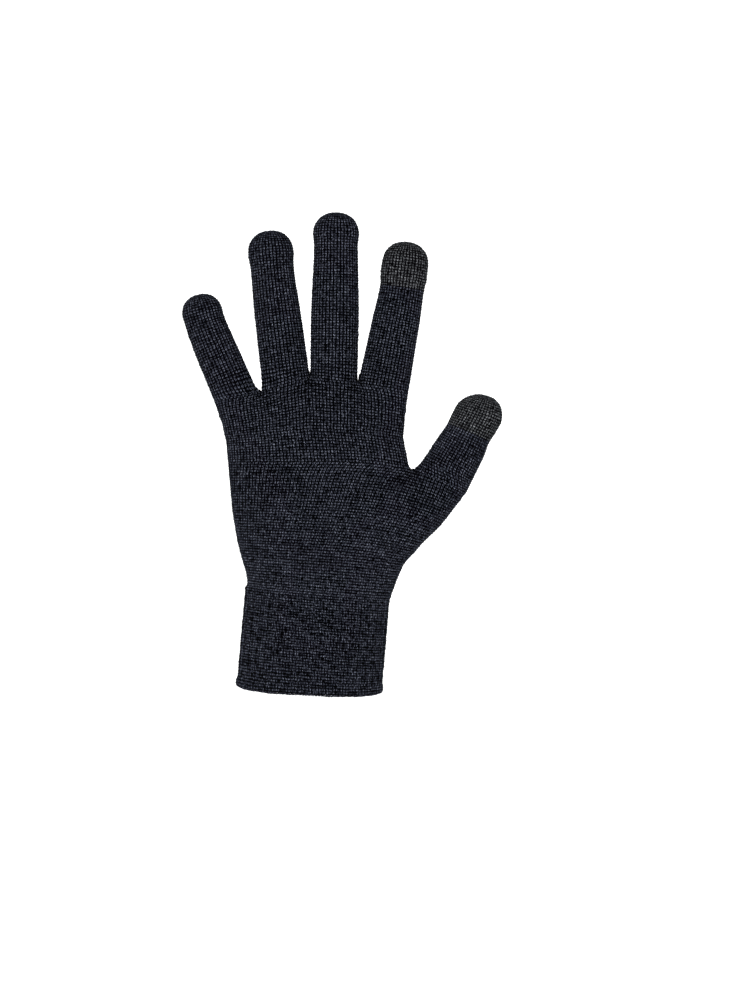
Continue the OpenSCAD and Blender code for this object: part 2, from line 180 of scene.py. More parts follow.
def finger_line(f, s):
    """Centre x, z and lean of a finger, s from its root; the end leans on smoothly."""
    fine = np.arange(-40, f[12] + 1, 0.25)
    lean = np.radians(mix(f[2], f[3], soft((fine - f[10] + 8) / 16)))
    x = np.concatenate(([0], np.cumsum(np.sin(lean[:-1]) * 0.25)))
    z = np.concatenate(([0], np.cumsum(np.cos(lean[:-1]) * 0.25)))
    zero = np.argmin(np.abs(fine))
    x += f[0] - x[zero]
    z += f[1] - z[zero]
    return np.interp(s, fine, x), np.interp(s, fine, z), np.interp(s, fine, lean)


def finger_field(f, p):
    """Below zero inside one finger."""
    a, b = math.radians(f[2]), math.radians(f[3])
    x, z = p[..., 0] - f[0], p[..., 2] - f[1]
    s0 = x * math.sin(a) + z * math.cos(a)
    u0 = x * math.cos(a) - z * math.sin(a)
    x, z = x - f[10] * math.sin(a), z - f[10] * math.cos(a)
    s1 = f[10] + x * math.sin(b) + z * math.cos(b)
    u1 = x * math.cos(b) - z * math.sin(b)
    w = soft((s0 - f[10] + 8) / 16)
    s, u = mix(s0, s1, w), mix(u0, u1, w)
    half = finger_width(f, s) / 2 * finger_round(f, s)
    d = oval(u, p[..., 1], half, half * DEPTH, FINGER_OVAL)
    return np.where(s < -20, d + 25 * soft((-20 - s) / 14), d)


def palm_field(p):
    """Below zero inside the palm, whose top line follows the knuckles."""
    x, z = p[..., 0], p[..., 2]
    level = z.copy()
    slope = 6 * ((x - 3) / 26) ** 2
    for _ in range(5):
        lean = CUFF_LEAN * (1 - soft((level - 48) / 30))
        level = z + np.interp(level, PALM[:, 0], PALM[:, 4]) * slope + (x - 4.6) * np.sin(lean)
    left = np.interp(level, PALM[:, 0], PALM[:, 1])
    right = np.interp(level, PALM[:, 0], PALM[:, 2])
    deep = np.interp(level, PALM[:, 0], PALM[:, 3])
    middle = (left + right) / 2 + 0.1
    d = oval(x - middle, p[..., 1], (right - left) / 2 + 0.3, deep, 2.5)
    return np.maximum(d, np.clip(level - 149.6, -25, 25))


def thumb_at(t):
    """Section values of the thumb at a fractional section number."""
    i = np.arange(len(THUMB))
    return [np.interp(t, i, THUMB[:, k]) for k in range(6)]


def thumb_axes(lean):
    """Across, back and along directions of a thumb section."""
    lean = np.radians(lean)
    flat = np.stack([np.cos(lean), 0 * lean, -np.sin(lean)], -1)
    back = np.array((0, 1.0, 0))
    along = np.stack([np.sin(lean), 0 * lean, np.cos(lean)], -1)
    c, s = math.cos(THUMB_TURN), math.sin(THUMB_TURN)
    return c * flat - s * back, c * back + s * flat, along


def thumb_field(p):
    """Below zero inside the thumb and the ball of the thumb."""
    t = np.linspace(0, len(THUMB) - 1, 37)
    x, y, z, _, _, lean = thumb_at(t)
    _, _, along = thumb_axes(lean)
    flat = p.reshape(-1, 3)
    g = flat @ along.T - (x * along[:, 0] + y * along[:, 1] + z * along[:, 2])
    k = np.clip((g > 0).sum(1) - 1, 0, len(t) - 2)
    rows = np.arange(len(flat))
    g0, g1 = g[rows, k], g[rows, k + 1]
    frac = np.clip(g0 / np.where(np.abs(g0 - g1) < 1e-6, 1, g0 - g1), 0, 1)
    tau = (k + frac) * (len(THUMB) - 1) / (len(t) - 1)
    x, y, z, hw, hd, lean = thumb_at(tau)
    across, back, along = thumb_axes(lean)
    q = flat - np.stack([x, y, z], -1)
    d = oval((q * across).sum(1), (q * back).sum(1), hw, hd, THUMB_OVAL)
    below = np.clip(-g[:, 0], 0, 30)
    above = np.clip(g[:, -1], 0, 30)
    d = d + 6 * (1 - soft(tau / 1.3)) + below + above
    return d.reshape(p.shape[:-1])


def hand_field(p, thumb=True, only=None):
    """Below zero inside the hand: palm, thumb and fingers run smoothly into each other."""
    d = palm_field(p)
    if thumb:
        d = smooth_min(d, thumb_field(p), 11 - 6 * soft((p[..., 2] - 78) / 22))
    for name, f in FINGERS.items():
        if only is None or name in only:
            d = smooth_min(d, finger_field(f, p), 3)
    return d


def reach(start, way, far, field, steps=28):
    """How far each ray goes from inside the hand before it first leaves it."""
    t = np.linspace(0, 1, steps)
    r = t[None, :] * far[:, None]
    p = start[:, None, :] + r[..., None] * way[:, None, :]
    d = field(p)
    out = d > 0
    out[:, -1] = True
    k = np.maximum(out.argmax(1), 1)
    i = np.arange(len(start))
    lo, hi = r[i, k - 1], r[i, k]
    for _ in range(9):
        m = (lo + hi) / 2
        inside = field(start + m[:, None] * way) <= 0
        lo, hi = np.where(inside, m, lo), np.where(inside, hi, m)
    return (lo + hi) / 2


# ---------------------------------------------------------------- grids of fabric
def even_ring(points, n):
    """A closed ring of points spaced evenly along its length."""
    closed = np.vstack([points, points[:1]])
    step = np.linalg.norm(np.diff(closed, axis=0), axis=1)
    run = np.concatenate(([0], np.cumsum(step)))
    want = np.arange(n) / n * run[-1]
    return np.stack([np.interp(want, run, closed[:, k]) for k in range(3)], 1)


def body_ring(spine_z, n, field, right_limit=95.0, shift=1.0):
    """Ring round the hand that follows the curve z = spine_z(x)."""
    def along(x):
        return np.stack([x, -5.2 * shift * soft((x - 18) / 45), spine_z(x)], -1)

    ends = []
    for limit in (-60.0, right_limit):
        x = np.linspace(5.0, limit, 260)
        d = field(along(x))
        k = int(np.argmax(d > 0)) if (d > 0).any() else len(x) - 1
        lo, hi = x[max(k - 1, 0)], x[k]
        for _ in range(14):
            m = (lo + hi) / 2
            if field(along(np.array([m])))[0] <= 0:
                lo = m
            else:
                hi = m
        ends.append((lo + hi) / 2)
    turn = np.radians(np.arange(-84, 85, 7.0))
    fans = []
    for end, sign in ((ends[0], -1), (ends[1], 1)):
        x0 = end - sign * 8.0
        two = along(np.array([x0, x0 + sign * 4.0]))
        rise = (two[1] - two[0]) / 4.0
        way = np.cos(turn)[:, None] * rise + np.sin(turn)[:, None] * np.array((0, 1.0, 0))
        start = np.tile(two[0], (len(turn), 1))
        room = 8.0 if sign > 0 and ends[1] > right_limit - 0.3 else 11.0
        far = np.minimum(room / np.maximum(np.cos(turn), 0.05), 32.0)
        fans.append(start + reach(start, way, far, field)[:, None] * way)
    x = np.linspace(ends[0] + 8.0, ends[1] - 8.0, 80)
    p = along(x)
    far = np.full(len(x), 32.0)
    front = p + reach(p, np.tile((0, -1.0, 0), (len(x), 1)), far, field)[:, None] * (0, -1, 0)
    back = p + reach(p, np.tile((0, 1.0, 0), (len(x), 1)), far, field)[:, None] * (0, 1, 0)
    left, right = fans
    half = len(turn) // 2
    ring = np.vstack([left[half::-1], front, right, back[::-1], left[:half:-1]])
    return even_ring(ring, n)


def heel_curve(v):
    """Courses lie flat at the wrist and swing down round the ball of the thumb."""
    drop = 15 * float(soft(v / 0.55))

    def z(x):
        tilt = 0.0928 * (1 - v) * (x + 30)
        return 48.8 + 60.2 * v - tilt - drop * (np.maximum(x, 0) / 75) ** 3
    return z


def knuckle_curve(v):
    """Courses of the upper palm turn from the heel's last course to the crotch line."""
    cx = [c[0] for c in CROTCHES]
    cz = [c[1] for c in CROTCHES]

    def z(x):
        low = heel_curve(1.0)(np.minimum(x, THUMB_CROTCH[0]))
        return mix(low, np.interp(x, cx, cz), v)
    return z


def cuff_ring(s, n, out=0.0):
    """Ring of the cuff at a distance s from its mouth, whose edge waves a little."""
    a = mix(*CUFF_HALF_WIDTH, s / 50) + out
    b = mix(*CUFF_HALF_DEPTH, s / 50) + out
    t = np.linspace(0, 2 * math.pi, 241)[:-1] + math.pi
    u = a * power(np.cos(t), 2 / CUFF_OVAL)
    v = b * power(np.sin(t), 2 / CUFF_OVAL)
    c, k = math.cos(CUFF_LEAN), math.sin(CUFF_LEAN)
    nx = u / a
    sag = (1.5 * nx - 1.15 + 1.2 * nx ** 4) * (1 - float(soft(s / 14)))
    ring = np.stack([s * (k - 0.006) + u * c - 0.2, v, s * c - u * k + sag], 1)
    return even_ring(ring, n)


def cuff_profile():
    """The knitting starts inside the mouth, rolls round the hem and runs up outside."""
    curve = [(4.6, -2.3), (3.2, -2.5)]
    curve += [(1.9 - 1.9 * math.sin(a), -0.8 - 1.7 * math.cos(a))
              for a in np.linspace(0, math.pi, 14)]
    curve += [(s, 0.9 - 0.9 * float(soft((s - 1.9) / 4.2))) for s in np.linspace(2.4, 6.4, 9)]
    curve += [(s, 0.0) for s in np.linspace(7.5, CUFF_LEN, 40)]
    curve = np.array(curve)
    run = np.concatenate(([0], np.cumsum(np.hypot(*np.diff(curve, axis=0).T))))
    return curve, run


def smooth_rows(grid, times):
    """Evens a grid of rings a little, keeping the first and last ring."""
    for _ in range(times):
        side = (np.roll(grid, 1, 1) + np.roll(grid, -1, 1)) / 2
        grid[1:-1] = 0.5 * grid[1:-1] + 0.25 * side[1:-1] + 0.125 * (grid[:-2] + grid[2:])
    return grid


def lined_up(ring, guide):
    """The places on a ring that are nearest to each guide point, so stitches don't slant."""
    fine = even_ring(ring, 1500)
    apart = np.linalg.norm(guide[:, None] - fine[None], axis=2)
    return fine[apart.argmin(1)]


def finger_grid(name, n):
    """Rings of a finger from its crotch line to its tip, and each ring's distance s."""
    f = FINGERS[name]
    i = list(FINGERS).index(name)
    left, right = CROTCHES[i], CROTCHES[i + 1]
    a = math.radians(f[2])
    s_left = (left[0] - f[0]) * math.sin(a) + (left[1] - f[1]) * math.cos(a)
    s_right = (right[0] - f[0]) * math.sin(a) + (right[1] - f[1]) * math.cos(a)
    fine = np.arange(max(s_left, s_right), f[12] - 0.02, 0.05)
    radius = finger_width(f, fine) / 2 * finger_round(f, fine)
    run = np.concatenate(([0], np.cumsum(np.hypot(np.diff(fine), np.diff(radius)))))
    last = run[np.argmax(radius < 2.0)] if (radius < 2.0).any() else run[-1]
    count = int(round(last / COURSE))
    level = np.interp(np.linspace(0, last, count + 1), run, fine)
    theta = np.linspace(0, 2 * math.pi, 97)[:-1] + math.pi
    rings = []
    for s in level:
        low = mix(s_left, s_right, (1 + np.cos(theta)) / 2)
        share = float(soft((s - level[0]) / 9))
        here = mix(low + (s - level[0]), s, share)
        x, z, lean = finger_line(f, here)
        across = np.stack([np.cos(lean), 0 * lean, -np.sin(lean)], -1)
        way = np.cos(theta)[:, None] * across + np.sin(theta)[:, None] * np.array((0, 1.0, 0))
        start = np.stack([x, 0 * x, z], -1)
        half = finger_width(f, here) / 2 * finger_round(f, here)
        r = oval_radius(theta, half, half * DEPTH, FINGER_OVAL)
        if s < 14:
            far = r + mix(2.2, 6.0, np.abs(np.sin(theta)))
            for side, (cx, cz) in ((-1, left), (1, right)):
                if (side < 0 and i == 0) or (side > 0 and i == 3):
                    continue
                tilt = math.radians(WEB_LEAN[i - (side < 0)])
                across_web = np.array((math.cos(tilt), 0, -math.sin(tilt))) * side
                gap = (np.array((cx, 0, cz)) - start) @ across_web
                toward = way @ across_web
                wall = np.where(toward > 0.02, gap / np.maximum(toward, 0.02), 99)
                far = np.minimum(far, np.maximum(wall - 0.25, 1.0))
            met = reach(start, way, far, lambda p: hand_field(p, thumb=False, only=(name,)))
            r = mix(met, r, float(soft((s - 8) / 6)))
        rings.append(even_ring(start + r[:, None] * way, n))
    return smooth_rows(np.array(rings), 2), level


def thumb_grid(n):
    """Rings of the thumb from its crotch to its tip, and the distance of each from the crotch."""
    base = np.array(((THUMB_CROTCH[0] + THUMB_OUTER[0]) / 2, -5.2,
                     (THUMB_CROTCH[1] + THUMB_OUTER[1]) / 2, 12.3, 12.6, 22.3))
    sections = [base] + [THUMB[k] for k in range(6, len(THUMB))]
    stations = np.array(sections)
    step = np.linalg.norm(np.diff(stations[:, :3], axis=0), axis=1)
    run = np.concatenate(([0], np.cumsum(step)))
    wide, tip = stations[-1], THUMB_TIP
    dome = np.linspace(0, math.pi / 2, 60)
    arc_x = np.linalg.norm(tip - wide[:3]) * np.sin(dome)
    arc_r = wide[3] * np.cos(dome) ** 0.9
    arc = np.concatenate(([0], np.cumsum(np.hypot(np.diff(arc_x), np.diff(arc_r)))))
    last = run[-1] + arc[np.argmax(arc_r < 2.0)]
    count = int(round(last / COURSE))
    level = np.linspace(0, last, count + 1)
    theta = np.linspace(0, 2 * math.pi, 97)[:-1] + math.pi
    rings = []
    for m in level:
        if m < run[-1]:
            x, y, z, hw, hd, lean = [np.interp(m, run, stations[:, k]) for k in range(6)]
        else:
            q = float(np.interp(m - run[-1], arc, dome))
            x, y, z = mix(wide[:3], tip, math.sin(q))
            hw, hd = wide[3] * math.cos(q) ** 0.9, wide[4] * math.cos(q) ** 0.9
            lean = wide[5] - 4 * math.sin(q)
        turn = THUMB_TURN * float(soft(m / 8))
        a = math.radians(lean)
        flat, back = np.array((math.cos(a), 0, -math.sin(a))), np.array((0, 1.0, 0))
        u = math.cos(turn) * flat - math.sin(turn) * back
        v = math.cos(turn) * back + math.sin(turn) * flat
        way = np.cos(theta)[:, None] * u + np.sin(theta)[:, None] * v
        start = np.tile((x, y, z), (len(theta), 1))
        own = oval_radius(theta, hw, hd, THUMB_OVAL)
        if m < 12:
            side = np.clip(-np.cos(theta), 0, 1)
            far = own * mix(1.35, 1.06, side)
            r = reach(start, way, far, lambda p: hand_field(p, only=()))
            own = mix(r, own, float(soft((m - 6) / 6)))
        rings.append(even_ring(start + own[:, None] * way, n))
    return smooth_rows(np.array(rings), 2), level


# ---------------------------------------------------------------- yarn
class Fabric:
    """A closed grid of rings that can be asked for points and normals between them."""

    def __init__(self, grid):
        self.grid = grid
        around = np.roll(grid, -1, 1) - np.roll(grid, 1, 1)
        up = np.gradient(grid, axis=0)
        normal = np.cross(around, up)
        self.normal = normal / np.maximum(np.linalg.norm(normal, axis=2, keepdims=True), 1e-9)

    def at(self, u, v):
        """Points and normals at share u of the way round and at row v."""
        rows, cols = self.grid.shape[:2]
        v = np.clip(v, -1.0, rows)
        i = np.clip(np.floor(v).astype(int), 0, rows - 2)
        fv = (v - i)[..., None]
        x = (u % 1.0) * cols
        j = np.floor(x).astype(int) % cols
        fu = (x - np.floor(x))[..., None]
        k = (j + 1) % cols

        def pick(a):
            low = mix(a[i, j], a[i, k], fu)
            high = mix(a[i + 1, j], a[i + 1, k], fu)
            return mix(low, high, fv)
        n = pick(self.normal)
        return pick(self.grid), n / np.maximum(np.linalg.norm(n, axis=-1, keepdims=True), 1e-9)


def yarn_ring(fabric, row, wales, rough, even, pair):
    """One course: a closed, looped yarn with its length and its crest light, painted light that is
    brightest where the loop stands out and gives painted shade where it dips.

    pair draws the two legs of a stitch together and even adds a shallow rib.
    """
    n = wales * SAMPLES
    t = np.arange(n) / SAMPLES * 2 * math.pi
    probe = fabric.at(np.arange(0, 1, 0.02), np.full(50, row))[0]
    girth = np.linalg.norm(np.roll(probe, -1, 0) - probe, axis=1).sum()
    tight = min(1.0, girth / wales / WALE)
    loop = rng.normal(0, 1, (3, wales)).repeat(SAMPLES, 1) * rough
    out = -0.26 * np.cos(2 * t) + 0.07 * loop[0]
    x = t + (1.0 + 0.12 * loop[1]) * tight * np.sin(2 * t) - pair * np.sin(t)
    y = 0.80 * np.cos(t) + 0.05 * loop[2]
    if even:
        out += 0.16 * power(np.cos(t / 3), 0.5)
    point, normal = fabric.at(x / (2 * math.pi * wales), row + y)
    line = point + normal * (out + rng.normal(0, 0.02, n))[:, None]
    along = np.roll(line, -1, 0) - np.roll(line, 1, 0)
    along /= np.maximum(np.linalg.norm(along, axis=1, keepdims=True), 1e-9)
    side = np.cross(along, normal)
    side /= np.maximum(np.linalg.norm(side, axis=1, keepdims=True), 1e-9)
    up = np.cross(side, along)
    thick = YARN_RADIUS * (0.5 + 0.5 * tight) * (1 + 0.06 * rng.normal(0, 1, n))
    tube = []
    for k in range(SIDES):
        a = 2 * math.pi * (k + 0.5) / SIDES
        tube.append(line + thick[:, None] * (math.cos(a) * up + math.sin(a) * side))
    step = np.linalg.norm(np.roll(line, -1, 0) - line, axis=1)
    run = np.concatenate(([0], np.cumsum(step)[:-1]))
    # crest light: painted light on the loop's crests and painted shade where it dips
    crest_light = 0.5 - 0.5 * np.cos(2 * t) + 0.3 * pair * np.cos(t) + 0.07 * loop[0]
    crest_light = np.clip(crest_light + 0.01 * rng.normal(), 0, 1)
    return np.array(tube).transpose(1, 0, 2), run, crest_light


def knit(name, fabric, rows, wales, rough=1.0, even=False, touch_from=None,
         shade_lining=0.6, pair=0.2):
    """A piece of knitting between two rows of the fabric, with a sheet under it that stands for the
    back of the knitting, coloured near-black as painted shade.
    """
    first, last = rows
    points, faces, yarn, slots, crest_lights = [], [], [], [], []
    base = 0
    for row in range(first, last):
        tube, run, crest_light = yarn_ring(fabric, row + 0.5, wales, rough, even, pair)
        n = len(tube)
        i = np.arange(n)
        j = (i + 1) % n
        end = np.where(j == 0, run[-1] + (run[1] - run[0]), run[j])
        for k in range(SIDES):
            m = (k + 1) % SIDES
            quad = np.stack([i * SIDES + k, i * SIDES + m, j * SIDES + m, j * SIDES + k], 1)
            faces.append(quad + base)
            lo, hi = k / SIDES + row, (k + 1) / SIDES + row
            uv = np.stack([run, np.full(n, lo), run, np.full(n, hi),
                           end, np.full(n, hi), end, np.full(n, lo)], 1).reshape(n, 4, 2)
            yarn.append(uv)
            grey = touch_from is not None and row >= touch_from
            slots.append(np.full(n, 1 if grey else 0))
        points.append(tube.reshape(-1, 3))
        # painted shade on the yarn's inner corners, on top of the crest light
        crest_lights.append((crest_light[:, None] * CORNER_LIGHT).ravel())
        base += n * SIDES
    cols = 72
    v = np.arange(first, last + 1).astype(float)
    v[0] -= 0.4
    v[-1] += 0.4
    u = np.arange(cols) / cols
    uu, vv = np.meshgrid(u, v)
    p, n = fabric.at(uu, vv)
    # the shade lining: a sheet under the yarn whose near-black colour is painted shade in the gaps
    # between stitches
    points.append((p - n * shade_lining).reshape(-1, 3))
    crest_lights.append(np.zeros(p.shape[0] * cols))
    i, j = np.meshgrid(np.arange(len(v) - 1), np.arange(cols), indexing="ij")
    i, j = i.ravel(), j.ravel()
    k = (j + 1) % cols
    quad = np.stack([i * cols + j, i * cols + k, (i + 1) * cols + k, (i + 1) * cols + j], 1) + base
    faces.append(quad)
    yarn.append(np.zeros((len(quad), 4, 2)))
    slots.append(np.full(len(quad), 2))
    return make_mesh(name, np.vstack(points), np.vstack(faces), np.concatenate(yarn),
                     np.concatenate(slots), np.concatenate(crest_lights))


def cord(name, lines, radius):
    """Plain yarns laid along open lines, rounded off at both ends, in one piece."""
    points, faces, yarn, base = [], [], [], 0
    sides = 8
    for number, line in enumerate(lines):
        line = np.asarray(line, float)
        n = len(line)
        along = np.gradient(line, axis=0)
        along /= np.maximum(np.linalg.norm(along, axis=1, keepdims=True), 1e-9)
        side = np.cross(along, (0.31, 0.17, 0.93))
        side /= np.maximum(np.linalg.norm(side, axis=1, keepdims=True), 1e-9)
        up = np.cross(side, along)
        step = np.linalg.norm(np.diff(line, axis=0), axis=1)
        run = np.concatenate(([0], np.cumsum(step)))
        edge = np.minimum(run, run[-1] - run) / radius
        thick = radius * np.sqrt(np.clip(1 - (1 - np.clip(edge, 0, 1)) ** 2, 0.02, 1))
        a = 2 * math.pi * np.arange(sides) / sides
        twist = run[:, None] * 1.6 + a
        wave = 1 + 0.10 * np.cos(3 * twist)
        way = np.cos(a)[:, None] * up[:, None] + np.sin(a)[:, None] * side[:, None]
        ring = line[:, None] + thick[:, None, None] * wave[..., None] * way
        points.append(ring.reshape(-1, 3))
        i, k = np.meshgrid(np.arange(n - 1), np.arange(sides), indexing="ij")
        i, k = i.ravel(), k.ravel()
        m = (k + 1) % sides
        quad = np.stack([i * sides + k, i * sides + m, (i + 1) * sides + m, (i + 1) * sides + k], 1)
        faces.append(quad + base)
        lo, hi = number * 3 + k / sides, number * 3 + (k + 1) / sides
        yarn.append(np.stack([run[i], lo, run[i], hi, run[i + 1], hi, run[i + 1], lo],
                             1).reshape(-1, 4, 2))
        base += n * sides
    quads = np.vstack(faces)
    # an even crest light of 0.7 at every point, so the painted shade mix is the same all along the
    # yarn
    return make_mesh(name, np.vstack(points), quads, np.concatenate(yarn),
                     np.zeros(len(quads)), np.full(base, 0.7))


def make_mesh(name, points, quads, yarn, slots, crest_light):
    """A mesh with the yarn's own UVs, an even bake layout and the crest light, the yarn's painted
    light and shade.
    """
    mesh = bpy.data.meshes.new(name)
    mesh.vertices.add(len(points))
    mesh.vertices.foreach_set("co", (points * MM).astype(np.float32).ravel())
    mesh.loops.add(len(quads) * 4)
    mesh.loops.foreach_set("vertex_index", quads.astype(np.int32).ravel())
    mesh.polygons.add(len(quads))
    mesh.polygons.foreach_set("loop_start", np.arange(0, len(quads) * 4, 4, dtype=np.int32))
    mesh.polygons.foreach_set("material_index", slots.astype(np.int32))
    mesh.polygons.foreach_set("use_smooth", np.ones(len(quads), bool))
    mesh.update(calc_edges=True)
    layer = mesh.uv_layers.new(name="yarn")
    layer.data.foreach_set("uv", yarn.astype(np.float32).ravel())
    bake = mesh.uv_layers.new(name="OFBake")
    across = int(math.ceil(math.sqrt(len(quads))))
    cell = np.arange(len(quads))
    cx, cy = cell % across, cell // across
    corner = np.array([(0.2, 0.2), (0.2, 0.8), (0.8, 0.8), (0.8, 0.2)])
    uv = (np.stack([cx, cy], 1)[:, None, :] + corner[None]) / across
    bake.data.foreach_set("uv", uv.astype(np.float32).ravel())
    # the crest light attribute: painted light and shade read by the yarn material
    height = mesh.attributes.new("crest_light", "FLOAT", "POINT")
    height.data.foreach_set("value", crest_light.astype(np.float32))
    obj = bpy.data.objects.new(name, mesh)
    bpy.context.scene.collection.objects.link(obj)
    return obj


# ---------------------------------------------------------------- materials
def new_material(name):
    mat = bpy.data.materials.new(name)
    mat.use_nodes = True
    tree = mat.node_tree
    return mat, tree, tree.nodes["Principled BSDF"]


def add_node(tree, kind, **values):
    """A node with its input values; a word's underscore stands for a space."""
    node = tree.nodes.new(kind)
    for socket, value in values.items():
        node.inputs[socket.replace("_", " ")].default_value = value
    return node


def add_ramp(tree, source, stops):
    """A colour ramp of (place, colour) stops fed by one value."""
    ramp = tree.nodes.new("ShaderNodeValToRGB")
    elements = ramp.color_ramp.elements
    for k, (place, colour) in enumerate(stops):
        stop = elements[k] if k < 2 else elements.new(place)
        stop.position = place
        stop.color = (*colour, 1)
    tree.links.new(source, ramp.inputs["Fac"])
    return ramp.outputs["Color"]


def add_surface(tree, shader, height, strength, distance, smooth, rough):
    """Bump and roughness from the same noise."""
    bump = add_node(tree, "ShaderNodeBump", Strength=strength, Distance=distance)
    tree.links.new(height, bump.inputs["Height"])
    tree.links.new(bump.outputs["Normal"], shader.inputs["Normal"])
    matt = add_node(tree, "ShaderNodeMapRange", To_Min=smooth, To_Max=rough)
    tree.links.new(height, matt.inputs["Value"])
    tree.links.new(matt.outputs["Result"], shader.inputs["Roughness"])


def yarn_material(name, deep, dark, light, fleck):
    """Spun yarn: fibre shades vary along it, and painted shade from the crest light makes it
    darkest where it dips inward.
    """
    mat, tree, shader = new_material(name)
    uv = tree.nodes.new("ShaderNodeUVMap")
    uv.uv_map = "yarn"
    stretch = add_node(tree, "ShaderNodeMapping", Scale=(1.15, 3.7, 1.0))
    tree.links.new(uv.outputs["UV"], stretch.inputs["Vector"])
    shade = add_node(tree, "ShaderNodeTexNoise", Scale=1.0, Detail=2.0, Roughness=0.6)
    tree.links.new(stretch.outputs["Vector"], shade.inputs["Vector"])
    colour = add_ramp(tree, shade.outputs["Fac"], ((0.34, dark), (0.52, light), (0.68, fleck)))
    crest_light = tree.nodes.new("ShaderNodeAttribute")
    crest_light.attribute_name = "crest_light"
    crest_lit_share = add_node(tree, "ShaderNodeMapRange", From_Min=0.66, From_Max=0.98)
    tree.links.new(crest_light.outputs["Fac"], crest_lit_share.inputs["Value"])
    # painted light and shade: where the crest light is low the colour turns to deep, the
    # painted-shade colour
    blend = tree.nodes.new("ShaderNodeMix")
    blend.data_type = "RGBA"
    blend.inputs["A"].default_value = (*deep, 1)
    tree.links.new(crest_lit_share.outputs["Result"], blend.inputs["Factor"])
    tree.links.new(colour, blend.inputs["B"])
    tree.links.new(blend.outputs["Result"], shader.inputs["Base Color"])
    twist = add_node(tree, "ShaderNodeMapping", Scale=(2.4, 9.0, 1.0), Rotation=(0, 0, 0.5))
    tree.links.new(uv.outputs["UV"], twist.inputs["Vector"])
    fibre = add_node(tree, "ShaderNodeTexNoise", Scale=1.0, Detail=3.0)
    tree.links.new(twist.outputs["Vector"], fibre.inputs["Vector"])
    add_surface(tree, shader, fibre.outputs["Fac"], 0.6, 0.0001, 0.68, 0.95)
    shader.inputs["Specular IOR Level"].default_value = 0.01
    return mat


def shade_material(name, dark, light):
    """Painted shade for the backs of the loops under the outer yarn: soft dark ridges and hollows.
    """
    mat, tree, shader = new_material(name)
    place = tree.nodes.new("ShaderNodeTexCoord")
    ridge = add_node(tree, "ShaderNodeTexNoise", Scale=900.0, Detail=2.0)
    tree.links.new(place.outputs["Object"], ridge.inputs["Vector"])
    colour = add_ramp(tree, ridge.outputs["Fac"], ((0.4, dark), (0.65, light)))
    tree.links.new(colour, shader.inputs["Base Color"])
    add_surface(tree, shader, ridge.outputs["Fac"], 0.7, 0.0003, 0.8, 1.0)
    shader.inputs["Specular IOR Level"].default_value = 0.01
    return mat


def plain_material(name, colour, rough=0.9):
    """One even colour: for the stage, or a yarn's average under its node material."""
    mat, _, shader = new_material(name)
    shader.inputs["Base Color"].default_value = (*colour, 1)
    shader.inputs["Roughness"].default_value = rough
    shader.inputs["Specular IOR Level"].default_value = 0.01
    return mat


# each yarn's first colour is painted shade for where it dips; the black yarn's light and fleck
# shades are partly its random fibre tone and partly painted highlights on its fuzz
black_yarn = yarn_material("black_yarn", (0.0001, 0.0001, 0.0002), (0.0016, 0.0018, 0.003),
                           (0.028, 0.031, 0.045), (0.15, 0.163, 0.205))
grey_yarn = yarn_material("grey_yarn", (0.0003, 0.0003, 0.0004), (0.004, 0.0042, 0.0048),
                          (0.052, 0.055, 0.060), (0.23, 0.24, 0.255))
thread_mat = yarn_material("thread", (0.0002, 0.0002, 0.0003), (0.0005, 0.0005, 0.0009),
                           (0.0025, 0.0028, 0.0045), (0.02, 0.022, 0.03))
elastic_mat = yarn_material("elastic", (0.002, 0.002, 0.002), (0.004, 0.004, 0.005),
                            (0.015, 0.015, 0.017), (0.05, 0.05, 0.055))
# painted shade for the sheet under the knitting, and its plain average below
shade_lining_mat = shade_material("shade_lining", (0.0002, 0.0002, 0.0004), (0.0012, 0.0012, 0.002))
plain_black = plain_material("black_yarn_plain", (0.012, 0.0135, 0.020))
plain_grey = plain_material("grey_yarn_plain", (0.036, 0.038, 0.041))
plain_thread = plain_material("thread_plain", (0.008, 0.009, 0.013))
plain_shade_lining = plain_material("shade_lining_plain", (0.0005, 0.0005, 0.0009))


def dress(obj, first=None):
    """Object-linked yarn materials over plain ones of the same colour."""
    pairs = ((plain_black, black_yarn), (plain_grey, grey_yarn), (plain_shade_lining, shade_lining_mat))
    if first is not None:
        pairs = ((plain_grey if first is grey_yarn else plain_thread, first),)
    for i, (plain, rich) in enumerate(pairs):
        obj.data.materials.append(plain)
        obj.material_slots[i].link = "OBJECT"
        obj.material_slots[i].material = rich


# ---------------------------------------------------------------- build the glove
def rows_near(level, s):
    return int(np.argmin(np.abs(np.array(level) - s)))


def keep(obj, nodes=(), first=None):
    """Gives a finished piece its materials and hides the CAD nodes it stands for."""
    dress(obj, first)
    if nodes:
        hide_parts(*nodes)
    return obj


def chunks(total, parts):
    edges = [round(total * k / parts) for k in range(parts + 1)]
    return list(zip(edges[:-1], edges[1:]))


# ---- cuff
HEM_ROWS = 10
CUFF_COURSE = 1.25


def build_cuff():
    profile, run = cuff_profile()
    rows = int(round(run[-1] / CUFF_COURSE))
    stations = [[np.interp(m, run, profile[:, k]) for k in (0, 1)]
                for m in np.linspace(0, run[-1], rows + 1)]
    cuff = Fabric(np.array([cuff_ring(along, 240, out) for along, out in stations]))
    hem = knit("cuff_hem", cuff, (0, HEM_ROWS), 118, rough=1.2, shade_lining=0.5, pair=0.3)
    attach(keep(hem, ["cuff_welt"]), "hand")
    for k, span in enumerate(chunks(rows - HEM_ROWS, 2)):
        span = (span[0] + HEM_ROWS, span[1] + HEM_ROWS)
        piece = knit(f"cuff_knit_{k + 1}", cuff, span, 120, rough=1.2, even=True,
                     shade_lining=0.8, pair=0.3)
        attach(keep(piece, ["cuff_rib"] if k == 0 else []), "hand")


build_cuff()

# ---- hand
HEEL_ROWS = 47
